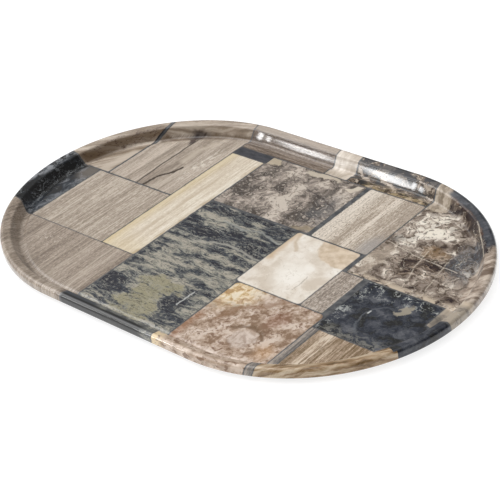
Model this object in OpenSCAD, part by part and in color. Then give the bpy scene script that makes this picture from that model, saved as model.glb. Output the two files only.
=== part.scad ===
// Serving tray with round ends, pressed from one printed sheet.
// A bench takes it apart into two pieces: the sheet, with its floor, wall and rim,
// and the wire that its curled edge closes round.
// Millimetres. +Z is up, X runs along the tray, and the tray stands on Z = 0.

/* [Tray] */
// overall length over the rim
tray_l = 460; // [280:1:700]
// overall width over the rim; the ends are half circles of this diameter
tray_w = 300; // [180:1:460]
// height from the table to the crown of the rim
tray_h = 12; // [10:0.5:30]

/* [Sheet] */
// thickness of the sheet
sheet_t = 0.6; // [0.4:0.1:1.2]

/* [Foot and floor] */
// width of the flat foot that the tray stands on
foot_flat = 1.2; // [0.2:0.1:3]
// height of the floor above the foot
floor_rise = 0.8; // [0.3:0.1:2]
// slope of the step from the foot to the floor
step_angle = 25; // [15:5:45]
// radius of the cove from the foot into the wall
cove_r = 3.5; // [2:0.25:8]

/* [Wall and rim] */
// slope of the wall, from level
wall_angle = 60; // [45:5:80]
// radius of the shoulder where the wall turns into the lip
shoulder_r = 2.5; // [1.5:0.25:5]
// length of the straight stretch of the lip
lip_len = 4.5; // [2:0.5:10]
// slope of the lip, rising outwards
lip_angle = 15; // [0:1:30]
// radius of the crown where the lip turns down into the skirt
crown_r = 3; // [2.6:0.1:5]

/* [Wired edge] */
// diameter of the edge wire
wire_d = 3; // [2:0.1:4]
// clearance between the wire and the curl of sheet around it
wire_play = 0.1; // [0.05:0.05:0.3]
// how far the curl runs round the wire
curl_angle = 285; // [240:5:300]
// height of the wire's centre below the centre of the crown's bend
wire_drop = 3.3; // [0:0.1:8]
// space between the two butted ends of the wire
wire_gap = 1.5; // [0.5:0.5:5]

/* [Hidden] */
$fa = 3;
$fs = 0.5;
half_t = sheet_t / 2;
end_r = tray_w / 2;                     // radius of the round ends, over the rim
spine = tray_l / 2 - end_r;             // half the length of the straight sides
bend_step = 15;                         // degrees between points on a bend of the sheet

// A station is [x, z, a]: a point on the middle of the sheet and the direction a of its
// upper side. X counts outwards from the rim's outer face, so it is negative in the tray.
function bend(cx, cz, r, a0, a1, side = 1) =
    let (n = ceil(abs(a1 - a0) / bend_step))
    [for (i = [0:n]) let (a = a0 + (a1 - a0) * i / n)
        [cx + r * cos(a), cz + r * sin(a), side > 0 ? a : a + 180]];

// centre of the crown's bend, from the height and the outer face
crown = [-half_t - crown_r, tray_h - half_t - crown_r];
// the lip runs down and inwards from the crown to the shoulder
lip_end = [crown[0] + crown_r * cos(90 + lip_angle) - lip_len * cos(lip_angle),
           crown[1] + crown_r * sin(90 + lip_angle) - lip_len * sin(lip_angle)];
shoulder = [lip_end[0] - shoulder_r * cos(90 + lip_angle),
            lip_end[1] - shoulder_r * sin(90 + lip_angle)];
wall_top = [shoulder[0] + shoulder_r * cos(90 + wall_angle),
            shoulder[1] + shoulder_r * sin(90 + wall_angle)];
wall_low_z = half_t + cove_r * (1 - cos(wall_angle));
cove = [wall_top[0] - (wall_top[1] - wall_low_z) / tan(wall_angle) - cove_r * sin(wall_angle),
        half_t + cove_r];
// two equal bends make the step from the foot up to the floor
step_r = floor_rise / (2 * (1 - cos(step_angle)));
step_x = cove[0] - foot_flat;
floor_x = step_x - 2 * step_r * sin(step_angle);
floor_z = half_t + floor_rise;
// the curl closes round the wire, below the crown
curl_r = wire_d / 2 + wire_play + half_t;
wire = [-half_t - curl_r, crown[1] - wire_drop];

sheet_path = concat(
    [[floor_x - 4, floor_z, 90]],
    bend(floor_x, floor_z - step_r, step_r, 90, 90 - step_angle),
    bend(step_x, half_t + step_r, step_r, 270 - step_angle, 270, -1),
    bend(cove[0], cove[1], cove_r, -90, -90 + wall_angle, -1),
    bend(shoulder[0], shoulder[1], shoulder_r, 90 + wall_angle, 90 + lip_angle),
    bend(crown[0], crown[1], crown_r, 90 + lip_angle, 0),
    bend(wire[0], wire[1], curl_r, 0, -curl_angle));

// the sheet's cross-section: its upper side, then its lower side on the way back
module sheet_section() {
    last = len(sheet_path) - 1;
    polygon(concat(
        [for (p = sheet_path) [end_r + p[0] + half_t * cos(p[2]), p[1] + half_t * sin(p[2])]],
        [for (i = [last:-1:0]) let (p = sheet_path[i])
            [end_r + p[0] - half_t * cos(p[2]), p[1] - half_t * sin(p[2])]]));
}

// carries a cross-section round one end of the tray
module round_end() {
    translate([spine, 0, 0]) rotate([0, 0, -90]) rotate_extrude(angle = 180) children();
}

// carries a cross-section along the side at +Y, from x0 to x1
module straight_side(x0, x1) {
    translate([x0, 0, 0]) rotate([90, 0, 90]) linear_extrude(x1 - x0) children();
}

// the printed sheet: floor, foot, cove, wall, lip, skirt and curled edge
module pressed_pan() {
    color("#b9a793") union() {
        for (turn = [0, 180]) rotate([0, 0, turn]) {
            round_end() sheet_section();
            straight_side(-spine, spine) sheet_section();
        }
        translate([0, 0, floor_z - half_t]) linear_extrude(sheet_t) {
            square([2 * spine, 2 * (end_r + floor_x - 2)], center = true);
            for (x = [-spine, spine]) translate([x, 0]) circle(end_r + floor_x - 2);
        }
    }
}

// the hoop of wire in the curl, butted in the middle of the back side
module edge_wire() {
    color("#a9adb0") union() {
        for (turn = [0, 180]) rotate([0, 0, turn]) round_end() wire_section();
        straight_side(-spine, -wire_gap / 2) wire_section();
        straight_side(wire_gap / 2, spine) wire_section();
        rotate([0, 0, 180]) straight_side(-spine, spine) wire_section();
    }
}

module wire_section() {
    translate([end_r + wire[0], wire[1]]) circle(d = wire_d);
}

pressed_pan();
edge_wire();
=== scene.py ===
"""A long serving tray with half-round ends, pressed from one printed sheet of tinplate."""
import bmesh
import bpy
import numpy as np
from math import cos, radians, sin, tan
from mathutils import Matrix, Vector


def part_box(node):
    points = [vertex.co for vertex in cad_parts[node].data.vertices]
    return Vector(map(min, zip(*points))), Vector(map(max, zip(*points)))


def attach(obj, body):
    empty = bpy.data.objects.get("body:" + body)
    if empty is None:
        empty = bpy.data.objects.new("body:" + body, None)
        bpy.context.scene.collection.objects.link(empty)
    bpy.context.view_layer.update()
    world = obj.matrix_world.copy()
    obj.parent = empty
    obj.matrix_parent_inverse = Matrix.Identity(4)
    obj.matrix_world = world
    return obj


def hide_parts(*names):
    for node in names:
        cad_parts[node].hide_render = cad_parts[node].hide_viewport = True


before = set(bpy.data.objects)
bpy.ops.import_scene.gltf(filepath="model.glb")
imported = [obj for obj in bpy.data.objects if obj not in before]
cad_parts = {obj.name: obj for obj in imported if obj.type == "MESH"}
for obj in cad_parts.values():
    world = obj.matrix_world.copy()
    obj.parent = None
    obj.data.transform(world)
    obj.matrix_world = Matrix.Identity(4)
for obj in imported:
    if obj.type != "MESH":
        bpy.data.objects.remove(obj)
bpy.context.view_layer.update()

# ---------------------------------------------------------------------------------------
# The pressed sheet. One oval blank of tinplate, printed flat, then pressed: the floor
# stays level, a foot runs under its edge, the wall rises through a cove, and the lip
# turns down over the crown into a skirt whose edge is curled round a wire.
# ---------------------------------------------------------------------------------------
# Sizes are in mm and angles in degrees. WALL_HOLLOW is how much the wall's lean changes from
# its middle to its foot and its top, and INKED_CURL how far round the curl the print goes.
MM = 0.001
TRAY_L, TRAY_W, TRAY_H = ((hi - lo) / MM for lo, hi in zip(*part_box("pressed_pan")))
SHEET_T = 0.6
FOOT_FLAT, FLOOR_RISE, STEP_ANGLE = 1.2, 0.8, 25
COVE_R, WALL_ANGLE, SHOULDER_R = 3.5, 60, 2.5
LIP_LEN, LIP_ANGLE, CROWN_R = 4.5, 15, 3.0
WIRE_D, WIRE_PLAY, CURL_ANGLE, WIRE_DROP = 3.0, 0.1, 285, 3.3
WALL_HOLLOW, INKED_CURL = 3, 150
HALF_T = SHEET_T / 2
END_R = TRAY_W / 2
SPINE = TRAY_L / 2 - END_R


def bend(centre, r, a0, a1, inwards=False, step=7):
    """Stations along an arc of radius r from angle a0 to a1, in degrees: out, up, and which way
    the sheet's upper side looks, which is away from the centre, or towards it if inwards."""
    a = np.linspace(a0, a1, int(np.ceil(abs(a1 - a0) / step)) + 1)
    t = np.radians(a)
    return np.stack([centre[0] + r * np.cos(t), centre[1] + r * np.sin(t), a + 180 * inwards], 1)


def at_angle(a):
    """The unit step at angle a, in degrees."""
    return np.array([cos(radians(a)), sin(radians(a))])


# The section is laid out from the rim's outer face, out being positive, on the sheet's
# middle line. It is worked from the crown inwards, then read from the floor outwards. The
# wall is a hair hollow: its foot leans less, and its top more, by WALL_HOLLOW degrees.
crown = np.array([-HALF_T - CROWN_R, TRAY_H - HALF_T - CROWN_R])
lip_end = crown + CROWN_R * at_angle(90 + LIP_ANGLE) - LIP_LEN * at_angle(LIP_ANGLE)
shoulder = lip_end - SHOULDER_R * at_angle(90 + LIP_ANGLE)
wall_top = shoulder + SHOULDER_R * at_angle(90 + WALL_ANGLE)
wall_low = HALF_T + COVE_R * (1 - cos(radians(WALL_ANGLE)))
cove_x = (wall_top[0] - (wall_top[1] - wall_low) / tan(radians(WALL_ANGLE))
          - COVE_R * sin(radians(WALL_ANGLE)))
step_r = FLOOR_RISE / (2 * (1 - cos(radians(STEP_ANGLE))))
step_x = cove_x - FOOT_FLAT
floor_x = step_x - 2 * step_r * sin(radians(STEP_ANGLE))
floor_z = HALF_T + FLOOR_RISE
curl_r = WIRE_D / 2 + WIRE_PLAY + HALF_T
wire_at = (-HALF_T - curl_r, crown[1] - WIRE_DROP)
section = np.concatenate([
    bend((floor_x, floor_z - step_r), step_r, 90, 90 - STEP_ANGLE),
    bend((step_x, HALF_T + step_r), step_r, 270 - STEP_ANGLE, 270, True),
    bend((cove_x, HALF_T + COVE_R), COVE_R, -90, -90 + WALL_ANGLE - WALL_HOLLOW, True),
    bend(shoulder, SHOULDER_R, 90 + WALL_ANGLE + WALL_HOLLOW, 90 + LIP_ANGLE),
    bend(crown, CROWN_R, 90 + LIP_ANGLE, 0),
    bend(wire_at, curl_r, 0, -CURL_ANGLE, step=10)])
strides = np.hypot(*np.diff(section[:, :2], axis=0).T)
section = section[np.r_[True, strides > 1e-6]]
section[:, 2] = np.unwrap(section[:, 2], period=360)
FLOOR_R = END_R + floor_x
BLANK_R = FLOOR_R + np.r_[0, np.cumsum(np.hypot(*np.diff(section[:, :2], axis=0).T))]
INKED_R = BLANK_R[-1] - radians(CURL_ANGLE - INKED_CURL) * curl_r


def pressed(flat, upper):
    """Carries points of the flat blank to the pressed tray, in mm. Inside the floor's edge they
    stay put. Past it, a point keeps its direction from the oval's middle line, and its
    distance past the edge is walked along the section; the upper side stands half the
    sheet's thickness off it, the underside half below. Also gives the way the metal faces."""
    x, y = flat.T
    near = np.clip(x, -SPINE, SPINE)
    r = np.hypot(x - near, y)
    out_x, out_y = (x - near) / np.maximum(r, 1e-9), y / np.maximum(r, 1e-9)
    run, up, looks = (np.interp(r, BLANK_R, section[:, k]) for k in range(3))
    along, rise = np.cos(np.radians(looks)), np.sin(np.radians(looks))
    side = np.where(upper, 1, -1)
    reach = np.where(r <= FLOOR_R, r, END_R + run + side * HALF_T * along)
    place = np.stack([near + out_x * reach, out_y * reach, up + side * HALF_T * rise], 1)
    facing = np.stack([out_x * along, out_y * along, rise], 1) * side[:, None]
    return place, facing


# The blank as rings of stations round the oval: two half-round ends and two straight sides.
# Each station has its place on the oval's middle line and the way it looks out from there.
END_STATIONS, SIDE_STATIONS = 151, 17
turn = np.radians(np.linspace(-90, 90, END_STATIONS))
side_x = np.linspace(SPINE, -SPINE, SIDE_STATIONS)[1:-1]
around = np.concatenate([
    np.stack([np.full(END_STATIONS, SPINE), np.cos(turn), np.sin(turn)], 1),
    np.stack([side_x, 0 * side_x, 0 * side_x + 1], 1),
    np.stack([np.full(END_STATIONS, -SPINE), -np.cos(turn), -np.sin(turn)], 1),
    np.stack([-side_x, 0 * side_x, 0 * side_x - 1], 1)])
blank = np.stack([around[:, None, 0] + around[:, None, 1] * BLANK_R,
                  around[:, None, 2] * BLANK_R], -1).reshape(-1, 2)
ring = np.arange(len(blank)).reshape(len(around), len(BLANK_R))
following = np.roll(ring, -1, 0)
under = len(blank)
quads = np.stack([ring[:, :-1], ring[:, 1:], following[:, 1:], following[:, :-1]], -1).reshape(-1, 4)
raw_edge = np.stack([ring[:, -1], ring[:, -1] + under, following[:, -1] + under, following[:, -1]], -1)
faces = [*quads.tolist(), *(under + quads[:, ::-1]).tolist(), *raw_edge.tolist(),
         ring[:, 0].tolist(), (under + ring[::-1, 0]).tolist()]

# ---------------------------------------------------------------------------------------
# The print: an inlay of stone and fossil-wood slabs set in grey resin, one flat picture on
# the blank. Each slab is one or two rectangles, in mm on the flat print: left, right, near,
# far, and the radius of its corners. The print lies turned by a hair on the blank.
# ---------------------------------------------------------------------------------------
PRINT_TURN = radians(0.48)
OFF = 300
SLABS = {
    "charcoal_end": [(-OFF, -192.0, -64.0, 22.2, 2)],
    "taupe_block": [(-190.5, -102.2, -64.2, 22.0, 1)],
    "cream_strip": [(-101.0, -63.3, -64.0, 107.4, 1)],
    "near_left_wood": [(-OFF, -63.2, -OFF, -65.2, 1)],
    "far_left_wood": [(-180.3, -102.3, 23.9, OFF, 1)],
    "left_end_wood": [(-OFF, -182.4, 24.0, OFF, 1)],
    "resin_block": [(-101.6, -60.6, 108.2, 120.6, 1)],
    "brown_far_wood": [(-100.9, -4.2, 121.2, OFF, 1)],
    "far_cream": [(-2.8, 21.3, 121.2, OFF, 1)],
    "far_dark": [(22.8, 107.8, 121.2, OFF, 1)],
    "mottled_block": [(-61.6, 45.2, 36.3, 119.8, 2)],
    "olive_marble": [(-61.6, 36.9, -50, 33.4, 2), (-61.6, 40.1, -OFF, -48.5, 2)],
    "pale_wood": [(50.2, 108.1, 35.4, 119.8, 2)],
    "cream_stone": [(38.2, 104.8, -47.5, 33.7, 3)],
    "grey_strip": [(105.9, 127.4, -47.3, 6.8, 1)],
    "gold_brown": [(41.6, 131.7, -OFF, -48.7, 4)],
    "black_stone": [(133.6, 205.5, -64.2, 6.6, 3), (203.0, OFF, -72.5, -19.5, 1)],
    "thin_grey": [(132.9, 138.5, -OFF, -65.6, 1)],
    "brown_wood": [(139.6, OFF, -OFF, -65.6, 1)],
    "mottled_end": [(109.4, OFF, 8.2, OFF, 1), (206.5, OFF, -18.0, OFF, 1)],
}
# The middles of the joints, across the print (0) and down it (1). The short joints at the
# right end cut only what lies beyond END_X.
CUT_X = (-191.2, -181.3, -101.7, -62.4, -61.0, -3.5, 22.0, 37.6, 40.9, 47.7, 105.2, 108.6,
         130.5, 132.2, 139.0)
CUT_Y = (-64.7, -48.0, 7.4, 23.0, 34.8, 107.8, 120.5)
END_CUTS = ((0, 202.6), (0, 206.0), (1, -18.7), (1, -73.0))
END_X = 190
CUTS = ([(0, x, -OFF) for x in CUT_X] + [(1, y, -OFF) for y in CUT_Y]
        + [(axis, cut, END_X) for axis, cut in END_CUTS])


def off_slab(x, y, rects):
    """How far points lie outside a slab, in mm, less than 0 inside: for each rectangle the length
    of the overshoot past its sides drawn in by the corner radius, less that radius; the
    least of them counts."""
    gaps = []
    for left, right, near, far, r in rects:
        over_x = np.abs(x - (left + right) / 2) - (right - left) / 2 + r
        over_y = np.abs(y - (near + far) / 2) - (far - near) / 2 + r
        gaps.append(np.hypot(np.maximum(over_x, 0), np.maximum(over_y, 0))
                    + np.minimum(np.maximum(over_x, over_y), 0) - r)
    return np.min(gaps, 0)


def on_print(flat):
    """Points of the blank as points of the print, turned back by PRINT_TURN."""
    c, s = cos(PRINT_TURN), sin(PRINT_TURN)
    return flat @ np.array([[c, -s], [s, c]])


# The blank, its upper side at height 0 and its underside at -1, is cut along the middles of
# the resin joints, so every face of the mesh belongs to one slab.
bm = bmesh.new()
rough_mesh = bpy.data.meshes.new("blank")
rough_mesh.from_pydata([(x, y, z) for z in (0, -1) for x, y in blank], [], faces)
bm.from_mesh(rough_mesh)
bpy.data.meshes.remove(rough_mesh)
ways = (Vector((cos(PRINT_TURN), sin(PRINT_TURN), 0)), Vector((-sin(PRINT_TURN), cos(PRINT_TURN), 0)))
for axis, cut, from_x in CUTS:
    cut_faces = [f for f in bm.faces if f.calc_center_median().x > from_x]
    cut_edges = list({e for f in cut_faces for e in f.edges})
    cut_points = list({v for f in cut_faces for v in f.verts})
    bmesh.ops.bisect_plane(bm, geom=cut_points + cut_edges + cut_faces, dist=1e-4,
                           plane_co=ways[axis] * cut, plane_no=ways[axis])
sheet_mesh = bpy.data.meshes.new("printed_sheet")
bm.to_mesh(sheet_mesh)
bm.free()

# Its points, the point at each corner of each face, and the middle of each face.
n_corners, n_faces = len(sheet_mesh.loops), len(sheet_mesh.polygons)
flat = np.empty(len(sheet_mesh.vertices) * 3, np.float32)
sheet_mesh.vertices.foreach_get("co", flat)
flat = flat.reshape(-1, 3).astype(float)
upper = flat[:, 2] > -0.5
corner_point = np.empty(n_corners, np.int32)
sheet_mesh.loops.foreach_get("vertex_index", corner_point)
face_size = np.empty(n_faces, np.int32)
sheet_mesh.polygons.foreach_get("loop_total", face_size)
corner_face = np.repeat(np.arange(n_faces), face_size)
middle = np.stack([np.bincount(corner_face, flat[corner_point, k]) for k in range(3)], 1)
middle /= face_size[:, None]

# Pressed, each corner takes the normal of the metal there. The faces across the raw edge, half
# way between the sides, keep their own.
JUST_UNDER = -0.01
place, facing = pressed(flat[:, :2], upper)
sheet_mesh.vertices.foreach_set("co", (place * MM).astype(np.float32).ravel())
is_raw = (middle[:, 2] > -1 - JUST_UNDER) & (middle[:, 2] < JUST_UNDER)
facing = facing[corner_point]
facing[is_raw[corner_face]] = 0
sheet_mesh.polygons.foreach_set("use_smooth", np.ones(n_faces, bool))
sheet_mesh.update()
sheet_mesh.normals_split_custom_set(facing.tolist())

# Slot 0 is the lacquered back, then the slabs in order; the raw edge and the inside of the
# curl have the back's finish.
printed = on_print(middle[:, :2])
gaps = np.array([off_slab(*printed.T, rects) for rects in SLABS.values()])
slot_of = 1 + np.argmin(gaps, 0)
off_spine = np.hypot(middle[:, 0] - np.clip(middle[:, 0], -SPINE, SPINE), middle[:, 1])
slot_of[(middle[:, 2] < JUST_UNDER) | (off_spine > INKED_R)] = 0
sheet_mesh.polygons.foreach_set("material_index", slot_of.astype(np.int32))

# The print's own map is in metres on the flat print. The bake's map shows the print across
# the whole width at the top, and the back, smaller, at the bottom left.
corner_flat = on_print(flat[corner_point, :2])
print_map = sheet_mesh.uv_layers.new(name="print", do_init=False)
print_map.data.foreach_set("uv", (corner_flat * MM).astype(np.float32).ravel())
PRINT_W, PRINT_D = 506, 348
BACK_SHARE, BACK_UP = 0.44, 78
on_top = (middle[:, 2] > -0.5)[corner_face]
bake = np.where(on_top[:, None], corner_flat + (PRINT_W / 2, PRINT_W - PRINT_D / 2),
                BACK_SHARE * corner_flat + (PRINT_W / 4, BACK_UP)) / PRINT_W
bake_map = sheet_mesh.uv_layers.new(name="OFBake", do_init=False)
bake_map.data.foreach_set("uv", bake.astype(np.float32).ravel())
sheet = bpy.data.objects.new("printed_sheet", sheet_mesh)
bpy.context.collection.objects.link(sheet)

# The shine and the strength of the light on a level face, the darkest and palest inks, what
# the varnish is like, and the depths of its waves, its peel and a dent in the sheet, in metres.
SHINE, LIGHT = 0.041, 0.925
DARKEST, PALEST = 0.004, 0.95
VARNISH = {"Coat Weight": 1.0, "Coat Roughness": 0.09, "Coat IOR": 1.5, "Specular IOR Level": 0.12}
WAVE_DEPTH, PEEL_DEPTH, DENT_DEPTH = 0.0004, 0.000012, 0.0003


def ink(shade):
    """A hex shade as it looks on the tray, as the ink's own linear colour: the shade freed of its
    display curve, less the shine that the varnish adds, over the strength of the light."""
    s = np.array([int(shade[k:k + 2], 16) for k in (0, 2, 4)]) / 255
    linear = np.where(s <= 0.04045, s / 12.92, ((s + 0.055) / 1.055) ** 2.4)
    return (*np.clip((linear - SHINE) / LIGHT, DARKEST, PALEST), 1)


def add_node(tree, kind, *values, out=0, **settings):
    """Adds a node of that kind to a node tree, with its settings, fed from the values in order;
    None leaves a socket alone. Gives the output asked for."""
    node = tree.nodes.new("ShaderNode" + kind)
    for key, value in settings.items():
        setattr(node, key, value)
    for socket, value in zip(node.inputs, values):
        if isinstance(value, bpy.types.NodeSocket):
            tree.links.new(value, socket)
        elif value is not None:
            socket.default_value = value
    return node.outputs[out]


class Print:
    """The printed and varnished finish of one slab, built up as nodes over the flat print, in mm.
    Its body is the colour so far: a ground, then the marks laid over it one by one."""

    def __init__(self, name):
        self.material = bpy.data.materials.new(name)
        self.material.use_nodes = True
        self.tree = self.material.node_tree
        self.tree.nodes.clear()
        self.rects = SLABS.get(name, ())
        self.body = None
        self.at = self.add("VectorMath", self.add("UVMap", uv_map="print"), (1000, 1000, 0),
                           operation="MULTIPLY")
        self.x, self.y = self.add("SeparateXYZ", self.at).node.outputs[:2]

    def add(self, kind, *values, **settings):
        """A node in this finish's own tree."""
        return add_node(self.tree, kind, *values, **settings)

    def maths(self, how, *values, clamp=False):
        """One step of arithmetic, on numbers or on what nodes give."""
        return self.add("Math", *values, operation=how, use_clamp=clamp)

    def chain(self, how, first, *others, clamp=False):
        """The first value taken with each of the others in turn, by one kind of arithmetic."""
        for other in others:
            first = self.maths(how, first, other, clamp=clamp)
        return first

    def times(self, *values):
        """The product of values from 0 to 1."""
        return self.chain("MULTIPLY", *values, clamp=True)

    def least(self, *values):
        """The least of the values."""
        return self.chain("MINIMUM", *values)

    def most(self, *values):
        """The greatest of the values."""
        return self.chain("MAXIMUM", *values)

    def sum(self, *parts):
        """The weighted sum of (value, weight) pairs."""
        total = self.maths("MULTIPLY", *parts[0])
        for value, weight in parts[1:]:
            total = self.maths("MULTIPLY_ADD", value, weight, total)
        return total

    def off(self, value, middle):
        """How far a value is off a middle one, either way."""
        return self.maths("ABSOLUTE", self.maths("SUBTRACT", value, middle))

    def step(self, value, start, end):
        """0 before start, 1 past end, smooth between; start may be above end."""
        return self.add("MapRange", value, start, end, 0, 1, interpolation_type="SMOOTHSTEP")

    def ramp(self, value, stops, ease="LINEAR"):
        """The colour at a value from 0 to 1 between (place, colour) stops."""
        colour = self.add("ValToRGB", value)
        ramp = colour.node.color_ramp
        ramp.interpolation = ease
        for k, (place, shade) in enumerate(stops):
            stop = ramp.elements[k] if k < 2 else ramp.elements.new(place)
            stop.position = place
            stop.color = shade
        return colour

    def shades(self, value, colours, low=0.36, high=0.64):
        """The inks named, evenly spread over the value from low to high."""
        stops = [(low + (high - low) * k / (len(colours) - 1), ink(c)) for k, c in enumerate(colours)]
        return self.ramp(value, stops)

    def profile(self, value, stops, low, high):
        """A number that follows (value, number) stops along a value from low to high: a ramp of
        greys, where black is the least number and white the most."""
        place = self.add("MapRange", value, low, high, 0, 1)
        least, most = min(n for _, n in stops), max(n for _, n in stops)
        greys = [((v - low) / (high - low), (*[(n - least) / (most - least)] * 3, 1)) for v, n in stops]
        return self.maths("MULTIPLY_ADD", self.ramp(place, greys, "EASE"), most - least, least)

    def cloud(self, size, seed=0, detail=4, rough=0.55, swirl=0, at=None, colour=False):
        """Smooth noise whose lumps are size mm across (one number, or one each way), 0 to 1. Each
        seed shifts to another part of the noise."""
        wide, deep = size if isinstance(size, tuple) else (size, size)
        spot = self.add("VectorMath", at or self.at, (1 / wide, 1 / deep, 0),
                        (seed * 7.3 + 50, seed * 3.1 + 50, 0), operation="MULTIPLY_ADD")
        return self.add("TexNoise", spot, None, 1, detail, rough, None, None, None, swirl,
                        noise_dimensions="2D", out=1 if colour else 0)

    def stirred(self, far, size, seed=0, detail=3, at=None):
        """The place moved by a cloud, up to about far/2 mm each way, so edges wander."""
        push = self.add("VectorMath", self.cloud(size, seed, detail, at=at, colour=True),
                        (-0.5, -0.5, 0), operation="ADD")
        return self.add("VectorMath", push, (far, far, 0), at or self.at, operation="MULTIPLY_ADD")

    def turned(self, degrees, at=None):
        """The place turned about the print's middle, so that grain runs aslant."""
        return self.add("VectorRotate", at or self.at, None, None, radians(degrees),
                        rotation_type="Z_AXIS")

    def blob(self, x, y, wide, deep=None, turn=0, at=None):
        """How far off an oval's middle: the distance over its reach that way, so 1 on its edge."""
        spot = self.add("Mapping", at or self.at, (x, y, 0), (0, 0, radians(turn)),
                        (wide, deep or wide, 1), vector_type="TEXTURE")
        return self.add("VectorMath", spot, operation="LENGTH", out=1)

    def stroke(self, *points, at=None):
        """How far off a line through the points, in mm. On each stretch, the nearest point is the
        share of the way along that the place projects to, kept from 0 to 1; the nearest
        stretch counts."""
        gaps = []
        for (ax, ay), (bx, by) in zip(points, points[1:]):
            run = np.array([bx - ax, by - ay, 0.0])
            from_a = self.add("VectorMath", at or self.at, (ax, ay, 0), operation="SUBTRACT")
            share = self.add("VectorMath", from_a, tuple(run / (run @ run)), operation="DOT_PRODUCT",
                             out=1)
            share = self.maths("ADD", share, 0, clamp=True)
            nearest = self.add("VectorMath", tuple(run), None, None, share, operation="SCALE")
            gaps.append(self.add("VectorMath", from_a, nearest, operation="DISTANCE", out=1))
        return self.least(*gaps)

    def stripe(self, x, width, at):
        """A soft-edged stripe width mm wide down the print at x, on a value that runs across."""
        return self.step(self.off(at, x), width / 2, width / 6)

    def pebbles(self, size, seed=0, at=None):
        """How far off the middle of the nearest of many scattered spots, about size mm apart: 0 on
        the middle and about 0.5 half way to the next one."""
        spot = self.add("VectorMath", at or self.at, (1 / size, 1 / size, 0), (seed * 5.1, seed * 2.7, 0),
                        operation="MULTIPLY_ADD")
        return self.add("TexVoronoi", spot, None, 1, voronoi_dimensions="2D")

    def veins(self, size, seed, width, at=None, detail=4):
        """Thin lines where a cloud passes through its middle value."""
        return self.step(self.off(self.cloud(size, seed, detail, 0.6, at=at), 0.5), width, 0)

    def wood(self, colours, along="y", seed=0, wide=9, spread=0.10, at=None, weights=(0.35, 0.4, 0.25)):
        """The ground of sawn fossil wood: the weighted sum of broad bands, fibres and grit, all drawn
        out along the grain, spread over the colours from spread below the middle to spread above."""
        def drawn(across, length):
            """A size across and along the grain, as a size across and down the print."""
            return (across, length) if along == "y" else (length, across)

        broad = self.cloud(drawn(wide, 240), seed, 2, at=at)
        fibre = self.cloud(drawn(1.6, 26), seed + 3, 4, 0.68, at=at)
        grit = self.cloud(drawn(0.9, 3.2), seed + 7, 3, at=at)
        value = self.sum(*zip((broad, fibre, grit), weights))
        self.body = self.shades(value, colours, 0.5 - spread, 0.5 + spread)

    def lay(self, colour, *covers):
        """Lays an ink, or a colour worked out by nodes, over the body, as far as the product of the
        covers says."""
        colour = ink(colour) if isinstance(colour, str) else colour
        self.body = self.add("Mix", self.times(*covers), None, None, None, None, None, self.body,
                             colour, out=2, data_type="RGBA")

    def lay_joint(self):
        """Lays the resin joint round the slab, with a faint brown line inside it: the distance off
        the slab is worked out as in off_slab, from a place that sways a little."""
        sway = self.stirred(0.9, 5, 90, 3)
        gaps = []
        for left, right, near, far, r in self.rects:
            centre = ((left + right) / 2, (near + far) / 2, 0)
            half = ((right - left) / 2 - r, (far - near) / 2 - r, 0)
            over = self.add("VectorMath", sway, centre, operation="SUBTRACT")
            over = self.add("VectorMath", over, operation="ABSOLUTE")
            over = self.add("VectorMath", over, half, operation="SUBTRACT")
            outside = self.add("VectorMath", over, (0, 0, 0), operation="MAXIMUM")
            outer = self.add("VectorMath", outside, operation="LENGTH", out=1)
            over_x, over_y = self.add("SeparateXYZ", over).node.outputs[:2]
            inner = self.least(self.most(over_x, over_y), 0)
            gaps.append(self.maths("ADD", self.maths("SUBTRACT", outer, r), inner))
        edge = self.least(*gaps)
        self.lay("6d6862", self.step(edge, -0.9, 0.2), 0.3)
        resin = self.shades(self.cloud(6, 91, 3), ["545557", "5f6062", "6b6b6c"])
        self.lay(resin, self.step(edge, -0.15, 0.45))

    def finish(self, gloss=0.32, dent=None):
        """Lays the joint, then the clear varnish over all. The sheet's faint waves and dents, and
        the varnish's own fine peel, show in the varnish; smears roughen the ink under it."""
        if self.rects:
            self.lay_joint()
        rough = self.add("MapRange", self.cloud((60, 25), 93, 3), 0.3, 0.7, gloss - 0.05, gloss + 0.05)
        reliefs = [(self.cloud((34, 16), 94, 2), WAVE_DEPTH), (self.cloud(2.2, 95, 2), PEEL_DEPTH)]
        if dent:
            reliefs.append((dent, DENT_DEPTH))
        bump = None
        for height, depth in reliefs:
            lower, bump = bump, self.add("Bump")
            bump.node.inputs["Distance"].default_value = depth
            self.tree.links.new(height, bump.node.inputs["Height"])
            if lower:
                self.tree.links.new(lower, bump.node.inputs["Normal"])
        bsdf = self.add("BsdfPrincipled")
        for name, value in VARNISH.items():
            bsdf.node.inputs[name].default_value = value
        for name, value in {"Base Color": self.body, "Roughness": rough, "Normal": bump}.items():
            self.tree.links.new(value, bsdf.node.inputs[name])
        surface = self.tree.nodes.new("ShaderNodeOutputMaterial").inputs["Surface"]
        self.tree.links.new(bsdf, surface)
        return self.material


def lay_thick_seam(p):
    """Lays the thick dark seam that follows the joint between the two woods at the far left."""
    seam = p.stroke((-181.3, 82), (-182.2, 95), (-181.3, 108), (-180.5, 126), at=p.stirred(1.5, 8, 48))
    p.lay("3f4043", p.step(seam, 2.3, 1.3))


finishes = {}

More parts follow.
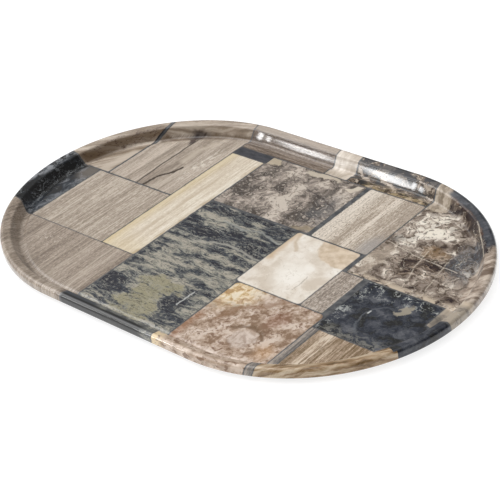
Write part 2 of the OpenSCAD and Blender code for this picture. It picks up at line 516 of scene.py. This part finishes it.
# Charcoal slate at the left end, crackled with pale hairlines, its wall darkened near black with painted
# shade.
p = Print("charcoal_end")
drift = p.stirred(14, 16, 1, 4)
p.body = p.shades(p.cloud((12, 22), 2, 6, 0.66, at=drift), ["2b2e32", "3c3f44", "54575b", "727478"],
                  0.4, 0.62)
p.lay("78716a", p.step(p.blob(-197, 16, 15, 22, at=drift), 1.1, 0.2), 0.8)
crackle = p.most(p.veins((13, 17), 4, 0.022, at=drift), p.veins((7, 11), 5, 0.016, at=drift))
p.lay("a3a6a8", crackle, p.step(p.cloud((14, 20), 6, 3), 0.42, 0.6), 0.6)
# Painted shade: the left end's wall, from x -205 to -227, is laid near black, all but its hairlines.
black = p.times(p.step(p.x, -205, -210), p.step(p.x, -227, -223))
p.lay("1b1e22", black, p.step(crackle, 0.9, 0.2))
p.lay("94969a", p.step(p.x, -225, -229), p.step(p.cloud((5, 9), 7, 5, 0.65), 0.45, 0.62))
finishes["charcoal_end"] = p.finish()

# Taupe fossil wood with its grain front to back.
p = Print("taupe_block")
p.wood(["94887b", "a5988b", "b4a89a", "c8bcae"], seed=11, spread=0.075)
p.lay("d3c8ba", p.step(p.cloud((1.4, 9), 14, 3), 0.58, 0.68), 0.5)
p.lay("8d8174", p.step(p.cloud((1.1, 7), 15, 3), 0.42, 0.34), 0.45)
finishes["taupe_block"] = p.finish()

# Cream fossil wood, yellower down its left side and tan down its right.
p = Print("cream_strip")
p.wood(["c6b7a3", "d2c5b3", "dbd0be", "e6ddcf"], seed=21, wide=7, spread=0.085)
p.lay("d0bd92", p.step(p.x, -88, -100), 0.55)
p.lay("d2bf97", p.step(p.y, -30, -64), 0.35)
p.lay("b09a79", p.step(p.x, -69, -64), p.step(p.cloud((5, 22), 24, 3), 0.45, 0.6), 0.6)
p.lay("b9a98f", p.step(p.cloud((1.1, 10), 25, 3), 0.4, 0.33), 0.4)
finishes["cream_strip"] = p.finish()

# Darker taupe wood along the near left side, streaked light and dark, with pale flecks.
p = Print("near_left_wood")
p.wood(["80746a", "938679", "a3968a", "b7aa9c"], seed=31, weights=(0.3, 0.42, 0.28))
for x, width, much in ((-85, 3, 0.5), (-78, 2, 0.35), (-107, 3, 0.35), (-118, 2, 0.25), (-70, 4, 0.25)):
    wander = p.maths("MULTIPLY_ADD", p.cloud((8, 60), x, 2), 6, p.maths("SUBTRACT", p.x, 3))
    p.lay("cbbfb0", p.stripe(x, width, wander), much)
fleck = p.step(p.cloud((1.3, 3.4), 36, 4, 0.6), 0.56, 0.66)
patch = p.step(p.blob(-145, -82, 18, 14, at=p.stirred(10, 12, 37)), 1, 0.3)
p.lay("d0c6b9", fleck, p.sum((patch, 0.55), (fleck, 0.3)))
finishes["near_left_wood"] = p.finish()

# The wood behind it, with a thin dark crack, a jagged split with a light wedge, and a knot; a dark brown
# band along its wall and a dark patch by the knot are painted shade.
p = Print("far_left_wood")
p.wood(["94887b", "a99d90", "b9ac9f", "cbbeb0"], seed=41)
wobble = p.stirred(4, 8, 42)
wedge = p.stroke((-127, 24), (-122, 40), (-119, 66), at=wobble)
p.lay("cbbfb0", p.step(wedge, 6, 1), 0.3)
shade = p.stroke((-141, 24), (-139, 50), (-131, 90), at=wobble)
p.lay("84786d", p.step(shade, 5, 1), 0.5)
split = p.stroke((-137, 23), (-136, 38), (-132, 47), (-127, 55), (-125, 64), at=wobble)
p.lay("544b45", p.step(split, 2.1, 0.7))
p.lay("cfc2b2", p.step(p.stroke((-126, 112), (-133, 95), (-132, 74), at=wobble), 7, 0), 0.6)
crack = p.stroke((-145, 23), (-147, 60), (-147, 125), at=p.stirred(2, 14, 43))
p.lay("5c534d", p.step(crack, 1.3, 0.4), 0.9)
knot = p.step(p.blob(-151, 108, 4, 14, 14, at=p.stirred(6, 8, 44)), 1, 0.4)
p.lay("453830", knot, 0.9)
fleck = p.cloud((2.2, 7), 46, 5, 0.65)
light = p.times(p.step(fleck, 0.48, 0.6), p.step(p.blob(-113, 76, 8, 38, at=wobble), 1.1, 0.4))
p.lay("ded5c8", light, 0.8)
rim = p.shades(p.cloud((46, 5), 45, 5, 0.6, at=p.turned(-27, p.stirred(8, 20, 49))),
               ["8d7f70", "a8998a", "c2b5a6"])
p.lay(rim, p.step(p.blob(-80, 0, 141), 0.97, 1.0), 0.9)
# Painted shade: a dark brown band along the far left wall.
far_wall_shade = p.stroke((-182, 92), (-162, 104), (-140, 121), (-118, 131), (-100, 137),
                 at=p.stirred(9, 12, 47))
p.lay("655444", p.step(far_wall_shade, 6, 0), 0.8)
# Painted shadow: a dark brown patch on the wall beside the knot.
far_wall_shadow = p.blob(-151, 117, 15, 7, 38, at=p.stirred(10, 9, 40))
p.lay("41342b", p.step(far_wall_shadow, 1.1, 0.2), 0.8)
lay_thick_seam(p)
finishes["far_left_wood"] = p.finish()

# The left end's wood, browner, cracked along the wall, with painted shade as a dark brown band along the
# wall.
p = Print("left_end_wood")
p.wood(["8b7c6c", "a49687", "b9ab9c", "d2c5b6"], seed=51, wide=14, at=p.turned(38),
       weights=(0.6, 0.25, 0.15))
wobble = p.stirred(6, 12, 52)
p.lay("cbbeaf", p.step(p.stroke((-190, 24), (-188, 44), (-184, 62), at=wobble), 8, 2), 0.7)
# Painted shade: a dark brown band along the left end's wall.
wall = p.stroke((-216, 30), (-211, 55), (-200, 80), (-184, 100), at=wobble)
p.lay("705d4a", p.step(wall, 9, 2), 0.75)
cracks = p.veins((5, 22), 53, 0.03, at=p.turned(30, wobble))
p.lay("4b3a2c", cracks, p.step(wall, 10, 5), 0.7)
lay_thick_seam(p)
finishes["left_end_wood"] = p.finish()

# A plain block of the grey resin.
p = Print("resin_block")
p.body = p.shades(p.cloud((9, 4), 61, 4), ["48494c", "4f4f53", "56565a"])
finishes["resin_block"] = p.finish()

# Brown wood on the far side, its grain left to right, with a dented crease along its wall.
p = Print("brown_far_wood")
p.wood(["5b5049", "71655c", "887b70", "a39689"], "x", seed=71, wide=6)
p.lay("c4b7a9", p.step(p.y, 144.5, 148), 0.5)
crease = p.stroke((-92, 145), (-70, 143.5), (-48, 141), (-30, 140.5), (-14, 138.5),
                  at=p.stirred(2, 14, 72))
finishes["brown_far_wood"] = p.finish(dent=p.step(crease, 1.6, 0))

# A small pale cream block beside it.
p = Print("far_cream")
p.body = p.shades(p.cloud((9, 30), 76, 5, 0.55), ["b9ac9d", "c8bcae", "d6cbbe", "e2d9ce"], 0.38, 0.62)
finishes["far_cream"] = p.finish()

# Dark breccia with beige pieces, golden along its near edge.
p = Print("far_dark")
drift = p.stirred(14, 12, 81, 4)
p.body = p.shades(p.cloud((13, 7), 82, 6, 0.66, at=drift), ["2f2b28", "4d443c", "7a6d61", "bbae9f"],
                  0.41, 0.59)
rim = p.times(p.step(p.y, 140, 147), p.step(p.cloud((16, 12), 84, 4), 0.56, 0.5))
p.lay("393b3f", rim, 0.85)
gold = p.times(p.step(p.stroke((42, 122), (110, 122), at=drift), 9, 1),
               p.step(p.cloud((9, 5), 85, 5, 0.62), 0.4, 0.6))
p.lay("b7a483", gold, 0.7)
finishes["far_dark"] = p.finish()

# Mottled grey-brown stone with pale clouds and dark pits.
p = Print("mottled_block")
drift = p.stirred(20, 20, 101, 5)
tone = p.sum((p.cloud((24, 30), 102, 7, 0.64, at=drift), 0.75),
             (p.cloud((4.5, 6), 103, 4, 0.62, at=drift), 0.25))
pale = p.step(p.blob(-16, 64, 34, 20, -35, at=drift), 1.1, 0.2)
grey = p.step(p.blob(34, 70, 15, 32, at=drift), 1.1, 0.3)
tone = p.sum((tone, 1), (pale, 0.045), (grey, -0.035))
p.body = p.shades(tone, ["5a5450", "736c66", "8d837b", "a79c92", "c8bdb1"], 0.4, 0.585)
p.lay("686b6e", grey, 0.45)
p.lay("564d47", p.step(p.cloud((3.8, 3), 104, 3, at=drift), 0.59, 0.65), 0.6)
p.lay("cdc2b5", p.step(p.cloud((2.4, 1.8), 105, 3, at=drift), 0.6, 0.68), 0.55)
round_pits = p.pebbles(9, 107, at=p.stirred(7, 6, 108, 4))
some = p.step(p.cloud((18, 15), 109, 3), 0.5, 0.6)
p.lay("4e4742", p.step(round_pits, 0.36, 0.26), some, 0.75)
p.lay("b9aea3", p.step(round_pits, 0.24, 0.14), some, 0.75)
p.lay("cdc1b0", p.step(p.blob(2, 118, 22, 5, at=drift), 1, 0.7), 0.8)
p.lay("cbbda6", p.step(p.blob(-57, 115, 9, 7, 40, at=drift), 1, 0.6), 0.7)
p.lay("d3c8b8", p.step(p.blob(39, 112, 8, 3.5, 40, at=drift), 1, 0.7), 0.85)
p.lay("a89a83", p.step(p.blob(40, 41, 15, 5, 20, at=drift), 1, 0.5), 0.6)
p.lay("4d4848", p.step(p.stroke((0, 92), (24, 86), (42, 78), at=p.stirred(4, 8, 106)), 1.3, 0.3), 0.6)
finishes["mottled_block"] = p.finish()

# Dark olive marble: pale veins drawn out left to right over charcoal, khaki lower down.
p = Print("olive_marble")
drift = p.stirred(11, (22, 10), 111, 5)
bands = [(-165, -0.03), (-133, 0.0), (-95, 0.0), (-65, 0.035), (-45, 0.02), (-38, -0.005),
         (-30, 0.05), (-22, -0.005), (-13, -0.035), (-6, -0.11), (3, -0.04), (14, -0.01),
         (24, -0.07), (36, -0.06)]
bias = p.profile(p.y, bands, -165, 36)
tone = p.sum((p.cloud((30, 7), 112, 8, 0.68, at=drift), 0.78),
             (p.cloud((6, 1.8), 113, 4, 0.66, at=drift), 0.22))
ragged = p.stirred(20, 13, 114, 5)
khaki = p.least(p.blob(-10, -86, 27, 11, -4, at=ragged), p.blob(-12, -117, 25, 19, at=ragged),
                p.blob(-14, -100, 13, 22, at=ragged))
khaki = p.step(khaki, 1.1, 0.8)
left_dark = p.blob(-50, -104, 16, 15, at=p.stirred(18, 13, 115, 5))
right_dark = p.blob(15, -96, 11, 21, -10, at=p.stirred(18, 11, 116, 5))
dark = p.step(p.least(left_dark, right_dark), 1.1, 0.8)
left_pale = p.step(p.blob(-40, 14, 20, 8, -8, at=drift), 1.1, 0.6)
tone = p.sum((tone, 1), (bias, 1), (khaki, 0.11), (dark, -0.11), (left_pale, 0.06))
p.body = p.ramp(tone, [(0.38, ink("383b41")), (0.455, ink("4a4d53")), (0.495, ink("666766")),
                       (0.53, ink("8a887f")), (0.59, ink("a9a396"))])
p.lay("938d72", khaki, p.step(tone, 0.5, 0.57), 0.8)
fine = p.cloud((7, 1.3), 110, 6, 0.72, at=drift)
p.lay("45474a", p.step(fine, 0.45, 0.38), 0.75)
p.lay("a9a69b", p.step(fine, 0.57, 0.64), 0.55)
wisp = p.most(p.veins((24, 7), 117, 0.02, at=drift, detail=5), p.veins((14, 5), 118, 0.014, at=drift))
p.lay("a5a399", wisp, p.step(p.cloud((26, 14), 119, 3), 0.42, 0.58), 0.75)
crease = p.veins((26, 4.5), 120, 0.018, at=drift, detail=4)
p.lay("404145", crease, p.step(p.y, -16, -26), 0.7)
vein = p.stroke((-34, -24), (-16, -15), (2, -12), (38, -17), at=p.stirred(5, 9, 121, 4))
p.lay("a3a097", p.step(vein, 1.9, 0.3), 0.8)
vein = p.stroke((-30, 15), (-5, 12), (8, 17), (20, 14), (36, 10), at=p.stirred(6, 8, 122, 4))
p.lay("9fa09b", p.step(vein, 1.8, 0.3), 0.6)
dash = p.stroke((20.5, -78), (19.5, -99), at=p.stirred(2.5, 4, 123, 4))
p.lay("b9b9b6", p.step(dash, 1.0, 0.4), 0.85)
p.lay("97978f", p.step(p.y, -143, -147), 0.2)
p.lay("4f5155", p.step(p.y, -134, -138), p.step(p.x, -18, -28), 0.92)
p.lay("15171a", p.step(p.y, -148.5, -151), p.step(p.x, 35, 25), 0.92)
finishes["olive_marble"] = p.finish()

# Pale wood pricked with rows of pores.
p = Print("pale_wood")
p.wood(["9f9284", "b4a799", "c9bdae", "ded3c6"], seed=131, wide=12, spread=0.08,
       weights=(0.3, 0.38, 0.32))
p.lay("e2d9cd", p.step(p.x, 72, 56), 0.4)
p.lay("a4988c", p.step(p.x, 78, 106), 0.3)
pores = p.step(p.cloud((1.0, 1.9), 134, 2), 0.42, 0.33)
p.lay("85796e", pores, p.step(p.cloud((2.6, 70), 135, 2), 0.44, 0.56))
p.lay("a3a09e", p.step(p.blob(104, 46, 14, 26), 1, 0.2), 0.6)
finishes["pale_wood"] = p.finish()

# Cream stone with a beige far right corner, a tan left edge and hair cracks.
p = Print("cream_stone")
drift = p.stirred(9, 15, 141, 5)
p.body = p.shades(p.cloud(30, 142, 6, 0.6, at=drift), ["d0c4b5", "dcd2c5", "e4dcd1", "ece6dd"],
                  0.38, 0.62)
corner = p.step(p.blob(93, 26, 29, 19, -14, at=drift), 1.0, 0.88)
p.lay(p.shades(p.cloud(9, 143, 5), ["bfab94", "cdbaa3", "dac9b4"]), corner, 0.9)
p.lay("f0ebe2", p.step(p.blob(72, -18, 22, 24, at=drift), 1.1, 0.3), 0.6)
p.lay("c2a887", p.step(p.stroke((38, 34), (39, -6), at=drift), 8, 0), 0.75)
p.lay("b9a388", p.step(p.stroke((41, 30), (47, 20), (55, 10), at=drift), 2.4, 0.2), 0.55)
crack = p.stroke((86, -14), (88, -24), (87, -34), at=p.stirred(5, 4, 144, 4))
p.lay("a0968a", p.step(crack, 0.9, 0.2), 0.6)
p.lay("b8ab9a", p.veins(24, 145, 0.008, at=drift), 0.5)
finishes["cream_stone"] = p.finish()

# Grey-brown wood to its right, flecked with pale grit.
p = Print("grey_strip")
p.wood(["857a70", "978c82", "a99e93", "c3b8ad"], seed=151, wide=8, spread=0.075,
       weights=(0.2, 0.35, 0.45))
p.lay("c8beb3", p.step(p.cloud((5, 3), 154, 5, 0.65), 0.54, 0.62), 0.4)
finishes["grey_strip"] = p.finish()

# Gold, brown and pink stone: a golden corner, brown pits in drifts, and a pale round cloud
# under a brown arc.
p = Print("gold_brown")
drift = p.stirred(12, 13, 161, 5)
lean = p.turned(35, drift)
tone = p.sum((p.cloud((13, 17), 162, 7, 0.66, at=lean), 0.8), (p.cloud((2.4, 3), 163, 3), 0.2))
p.body = p.shades(tone, ["8a7361", "a48f7d", "bba797", "d0c0b2"], 0.41, 0.58)
spots = p.step(p.cloud((2.8, 3.8), 164, 3, at=drift), 0.56, 0.62)
drifts = p.step(p.cloud((16, 22), 165, 4, at=lean), 0.45, 0.55)
p.lay("7d6353", spots, drifts, 0.8)
gold = p.step(p.blob(47, -56, 33, 33, 30, at=drift), 1.1, 0.3)
nugget = p.shades(p.cloud((7, 9), 166, 5, 0.62, at=drift), ["b08f62", "d0b384", "e4d0ad", "f0e4cd"],
                  0.4, 0.6)
p.lay(nugget, gold, 0.8)
smoke = p.stroke((94, -48), (86, -62), (66, -76), (60, -94), at=drift)
p.lay("8c705a", p.step(smoke, 5.5, 0.5), 0.7)
p.lay("84594a", p.step(p.blob(104, -72, 13, 18, at=drift), 1, 0.3), 0.35)
p.lay("c19a72", p.step(p.blob(121, -110, 12, 15, at=drift), 1.1, 0.2), 0.45)
p.lay("a07a62", p.step(p.stroke((43, -100), (44, -132), at=drift), 7, 1), 0.5)
cloud = p.blob(96, -106, 13, 13, at=p.stirred(9, 9, 167, 4))
milk = p.shades(p.cloud((5, 6), 169, 5, 0.65, at=drift), ["ad9c90", "c3b3a7", "d3c5ba"], 0.4, 0.6)
p.lay(milk, p.step(cloud, 1.05, 0.6), 0.85)
arc = p.stroke((79, -99), (86, -92), (95, -90), (104, -92), (110, -100), at=p.stirred(6, 8, 168, 4))
p.lay("75604f", p.step(arc, 3, 0.3), 0.8)
p.lay("d6c3b1", p.step(p.y, -134, -139), 0.4)
pits = p.times(p.step(p.cloud((8, 4.5), 139, 4, 0.6), 0.55, 0.62), p.step(p.y, -134, -141))
p.lay("7a604d", pits, 0.8)
sandy = p.times(p.step(p.y, -141, -144), p.step(p.x, 55, 47))
p.lay("dcc7a4", sandy, p.step(p.cloud((4, 3), 138, 4), 0.36, 0.5))
finishes["gold_brown"] = p.finish()

# Black marble netted with pale veins along its far edge, with a faint arc and a beige spot
# in its middle, grey along the near edge.
p = Print("black_stone")
drift = p.stirred(13, 12, 171, 5)
p.body = p.shades(p.cloud((20, 16), 172, 5, 0.6, at=drift), ["33353b", "3e4046", "4c4e54", "616267"],
                  0.38, 0.64)
edges = p.most(p.step(p.y, -18, 4), p.times(p.step(p.x, 150, 138), 0.8))
net = p.most(p.veins((15, 12), 173, 0.03, at=drift, detail=3),
             p.veins((9, 7), 174, 0.022, at=drift, detail=2))
p.lay("b3b5b1", net, p.most(p.times(edges, p.step(p.cloud(11, 175, 3), 0.42, 0.56)), 0.07))
p.lay("a1998a", p.step(p.blob(181, -13, 4, 9, -20, at=p.stirred(13, 6, 176, 6)), 1.15, 0.7), 0.85)
arc = p.off(p.blob(178, -36, 21, 24, 15, at=p.stirred(8, 12, 177, 4)), 1)
p.lay("73767b", p.step(arc, 0.07, 0), p.step(p.x, 176, 160), 0.5)
p.lay("c9cac8", p.step(p.stroke((159, -25), (158, -28.5), at=p.stirred(3, 4, 178)), 1.0, 0.2), 0.9)
low = p.times(p.step(p.y, -48, -62), p.step(p.cloud((7, 4), 180, 6, 0.72, at=drift), 0.46, 0.56))
p.lay("85837c", low, p.step(p.x, 205, 190), 0.7)
finishes["black_stone"] = p.finish()

# A thin strip of grey wood.
p = Print("thin_grey")
p.wood(["6b6764", "827c77", "968e86", "aea49a"], seed=181, wide=3)
finishes["thin_grey"] = p.finish()

# Brown wood at the near right, with a light band, and swirled grain where it climbs the rim.
p = Print("brown_wood")
p.wood(["76644f", "8f7d69", "a79481", "c8b7a3"], seed=186, wide=6)
p.lay("d2c3b1", p.stripe(152, 12, p.x), p.step(p.cloud((1.8, 20), 189, 3), 0.48, 0.6))
rim = p.shades(p.cloud((38, 4.5), 188, 5, 0.62, at=p.turned(-46, p.stirred(7, 18, 187))),
               ["6b563f", "93795c", "b59f84", "cdbba3"])
p.lay(rim, p.step(p.blob(80, 0, 143), 0.985, 1.0), 0.85)
finishes["brown_wood"] = p.finish()

# The mottled right end: a cream patch with shells at the far left, brown breccia below,
# grey rings to the right, pale hairs, a dark run up the far wall and a charcoal rim.
p = Print("mottled_end")
drift = p.stirred(16, 15, 191, 5)
tone = p.sum((p.cloud((26, 20), 192, 7, 0.64, at=p.turned(-30, drift)), 0.75),
             (p.cloud((6, 5), 206, 5, 0.65, at=drift), 0.25))
cream = p.step(p.blob(132, 92, 22, 34, -22, at=drift), 1.1, 0.5)
dark = p.step(p.stroke((126, 144), (150, 130), (178, 112), (197, 92), at=drift), 19, 9)
mid = p.step(p.blob(160, 42, 38, 20, 10, at=drift), 1.1, 0.6)
right = p.step(p.blob(186, 66, 17, 32, 15, at=drift), 1.1, 0.6)
tone = p.sum((tone, 1), (cream, 0.055), (dark, -0.12), (mid, -0.07), (right, -0.045))
p.body = p.shades(tone, ["423b37", "675c54", "8b7f75", "b0a498", "e6ddd0"], 0.37, 0.6)
p.lay("94795a", p.step(p.blob(156, 66, 14, 11, at=drift), 1.1, 0.6), 0.5)
seams = p.cloud((16, 2.4), 190, 6, 0.7, at=drift)
p.lay("524740", p.step(seams, 0.47, 0.4), mid, 0.8)
p.lay("b09d8b", p.step(seams, 0.55, 0.62), mid, 0.6)
shells = p.pebbles(11, 204, at=p.stirred(9, 8, 205, 4))
p.lay("efe8dc", p.step(shells, 0.4, 0.3), cream, 0.6)
p.lay("7c6e62", p.step(p.off(shells, 0.43), 0.05, 0), cream, 0.7)
p.lay("6a6d71", right, 0.45)
cells = p.veins((6, 7), 194, 0.045, at=drift, detail=3)
p.lay("9c9fa1", cells, right, 0.6)
p.lay("d6cbbb", p.veins((20, 26), 195, 0.011, at=drift, detail=4), 0.6)
p.lay("e9e1d3", p.step(p.blob(138, 91, 10, 8, 20, at=p.stirred(8, 8, 207, 4)), 1.1, 0.7), 0.9)
for *ends, much in (((170, 116), (186, 96), (201, 76), 0.8), ((149, 66), (153, 42), (160, 14), 0.5),
                    ((112, 62), (142, 55), (186, 52), 0.6), ((172, 60), (176, 36), (181, 10), 0.45)):
    hair = p.stroke(*ends, at=p.stirred(3, 14, 208, 4))
    p.lay("cfc5b6", p.step(hair, 0.9, 0.2), much)
pits = p.step(p.cloud((3.4, 4.2), 196, 3, at=drift), 0.58, 0.64)
p.lay("51473f", pits, 0.7)
p.lay("c3b4a1", p.step(p.y, 17, 9), p.step(p.cloud((12, 6), 197, 5, 0.6), 0.42, 0.52))
p.lay("b5a797", p.step(p.blob(118, 36, 10, 24, at=drift), 1.1, 0.7), 0.5)
pink = p.shades(p.cloud((7, 22), 198, 6, 0.62, at=p.turned(35)),
                ["75665b", "958679", "ac9d90", "c6b8aa"], 0.4, 0.6)
p.lay(pink, p.step(p.blob(224, 60, 26, 50, at=drift), 1, 0.85), 0.85)
p.lay("8a5e3c", p.step(p.blob(238, 40, 5, 14, at=drift), 1.1, 0.5), 0.7)
beige = p.shades(p.cloud((8, 14), 200, 6, 0.65, at=drift), ["8b7e6e", "aa9d8d", "c0b3a3"], 0.4, 0.6)
p.lay(beige, p.step(p.blob(117, 135, 13, 19, at=p.stirred(8, 9, 202, 4)), 1.05, 0.9), 0.95)
swirl = p.stroke((126, 146), (140, 136), (156, 128), (172, 118), (186, 104), at=p.stirred(9, 9, 203, 5))
p.lay("7a5638", p.step(swirl, 5, 1), 0.5)
p.lay("1f1916", p.step(swirl, 3.2, 0.8), 0.9)
p.lay("968f85", p.step(p.y, 9, 5), 0.6)
p.lay("68645f", p.step(p.blob(211, -10, 9, 11, at=p.stirred(8, 7, 201, 4)), 1.1, 0.3), 0.7)
far_rim = p.times(p.step(p.blob(80, 0, 147, at=p.stirred(3, 12, 199)), 0.985, 1.005),
                  p.step(p.blob(168, 122, 52), 1, 0.85))
charcoal = p.shades(p.cloud((14, 9), 189, 4, 0.6, at=drift), ["3c3e42", "4c4e53", "5f6166"])
p.lay(charcoal, far_rim, 0.95)
finishes["mottled_end"] = p.finish()

# The back: dark lacquer, clouded, and wiped with fine slanting scratches.
p = Print("back_lacquer")
p.body = p.shades(p.cloud(40, 201, 4), ["4a443e", "524b44", "5a534b"])
p.lay("6a6259", p.veins((90, 3), 202, 0.01, at=p.turned(20)), 0.3)
finishes["back_lacquer"] = p.finish(gloss=0.45)
for name in ("back_lacquer", *SLABS):
    sheet_mesh.materials.append(finishes[name])
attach(sheet, "root")
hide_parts("pressed_pan")

# ---------------------------------------------------------------------------------------
# The edge wire: a hoop of bright drawn steel wire, butted at the middle of a long side,
# which the sheet's edge is curled round to stiffen the rim.
# ---------------------------------------------------------------------------------------
# The drawing marks, so many to the metre: drawn out level, along the hoop, and fine in height.
DRAW_MARKS = (60, 60, 2500)
WIRE_LOOKS = {"Base Color": ((0.42, 0.41, 0.40, 1), (0.58, 0.57, 0.55, 1)),
              "Roughness": ((0.24, 0.24, 0.24, 1), (0.42, 0.42, 0.42, 1))}
steel = bpy.data.materials.new("drawn_steel")
steel.use_nodes = True
bsdf = steel.node_tree.nodes["Principled BSDF"]
bsdf.inputs["Metallic"].default_value = 1
place = add_node(steel.node_tree, "TexCoord", out="Object")
place = add_node(steel.node_tree, "Mapping", place, None, None, DRAW_MARKS)
drawing = add_node(steel.node_tree, "TexNoise", place, None, 1, 5)
for socket, (low, high) in WIRE_LOOKS.items():
    shade = add_node(steel.node_tree, "ValToRGB", drawing)
    shade.node.color_ramp.elements[0].color = low
    shade.node.color_ramp.elements[1].color = high
    steel.node_tree.links.new(shade, bsdf.inputs[socket])
for material_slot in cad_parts["edge_wire"].material_slots:
    material_slot.material = steel

# ---------------------------------------------------------------------------------------
# The studio: a pale paper floor that glows a little, a tent of soft light, and two soft boxes
# whose gleams lie on the far wall.
# ---------------------------------------------------------------------------------------
FLOOR_HALF, FLOOR_DROP = 40, 0.0002
PAPER = {"Base Color": (0.3, 0.3, 0.3, 1), "Roughness": 0.9,
         "Emission Color": (1, 1, 1, 1), "Emission Strength": 0.8}
scene = bpy.context.scene
floor_mesh = bpy.data.meshes.new("studio_floor")
floor_mesh.from_pydata([(x * FLOOR_HALF, y * FLOOR_HALF, -FLOOR_DROP)
                        for x, y in ((-1, -1), (1, -1), (1, 1), (-1, 1))], [], [(0, 1, 2, 3)])
floor = bpy.data.objects.new("studio_floor", floor_mesh)
scene.collection.objects.link(floor)
paper = bpy.data.materials.new("studio_paper")
paper.use_nodes = True
for name, value in PAPER.items():
    paper.node_tree.nodes["Principled BSDF"].inputs[name].default_value = value
floor_mesh.materials.append(paper)

# The tent glows evenly, and more overhead and high on the left. Each of those glows is its
# strength times a power of the cosine between a direction and the glow's own.
EVEN_GLOW = 0.2
LEFT_AZIMUTH, LEFT_HEIGHT = radians(200), radians(50)
LEFT_WAY = (cos(LEFT_AZIMUTH) * cos(LEFT_HEIGHT), sin(LEFT_AZIMUTH) * cos(LEFT_HEIGHT), sin(LEFT_HEIGHT))
GLOWS = (((0, 0, 1), 6, 1.3), (LEFT_WAY, 8, 3.4))
world = bpy.data.worlds.new("light_tent")
world.use_nodes = True
tent = world.node_tree
looking = add_node(tent, "TexCoord", out="Generated")
total = EVEN_GLOW
for way, power, strength in GLOWS:
    glow = add_node(tent, "VectorMath", looking, way, operation="DOT_PRODUCT", out=1)
    glow = add_node(tent, "Math", glow, 0, operation="MAXIMUM")
    glow = add_node(tent, "Math", glow, power, operation="POWER")
    total = add_node(tent, "Math", glow, strength, total, operation="MULTIPLY_ADD")
tent.links.new(total, tent.nodes["Background"].inputs["Strength"])
tent.nodes["Background"].inputs["Color"].default_value = (1, 1, 1, 1)
scene.world = world

# The camera stands at the near right, a little tilted.
CAMERA_AT = Vector((0.7990, -0.7700, 0.7099))
AIM_AT = Vector((0.0197, -0.0080, 0.0014))
CAMERA_ROLL = radians(-8.14)
LENS = 111.97
ahead = (AIM_AT - CAMERA_AT).normalized()
level = ahead.cross(Vector((0, 0, 1))).normalized()
right = cos(CAMERA_ROLL) * level + sin(CAMERA_ROLL) * level.cross(ahead)
up = right.cross(ahead)
camera_data = bpy.data.cameras.new("camera")
camera_data.sensor_width = 36
camera_data.lens = LENS
camera_data.clip_start = 0.01
camera = bpy.data.objects.new("camera", camera_data)
camera.matrix_world = (Matrix.Translation(CAMERA_AT)
                       @ Matrix((right, up, -ahead)).transposed().to_4x4())
scene.collection.objects.link(camera)
scene.camera = camera
scene.view_settings.view_transform = "Standard"

# The two soft boxes, each set where the far wall mirrors it to the camera.
WALL_MIDDLE = Vector((0, END_R + (wall_top[0] + cove_x) / 2, (wall_top[1] + wall_low) / 2)) * MM
WALL_LOOKS = Vector((0, -sin(radians(WALL_ANGLE)), cos(radians(WALL_ANGLE))))
BOX_FAR = 1.6


def gleam_box(name, x, wide, deep, watts):
    """A soft box that the camera sees mirrored in the far wall at x, in metres. From there it
    lies along the way to the camera turned over about the way the wall looks: twice the wall's
    way times how much of the camera's way runs along it, less the camera's way."""
    spot = WALL_MIDDLE + Vector((x, 0, 0))
    to_camera = (CAMERA_AT - spot).normalized()
    away = 2 * to_camera.dot(WALL_LOOKS) * WALL_LOOKS - to_camera
    light = bpy.data.lights.new(name, "AREA")
    light.shape, light.size, light.size_y, light.energy = "RECTANGLE", wide, deep, watts
    lamp = bpy.data.objects.new(name, light)
    lamp.location = spot + BOX_FAR * away
    lamp.rotation_euler = away.to_track_quat("Z", "Y").to_euler()
    scene.collection.objects.link(lamp)


gleam_box("left_box", -0.037, 0.095, 0.14, 0.75)
gleam_box("right_box", 0.056, 0.085, 0.20, 1.35)
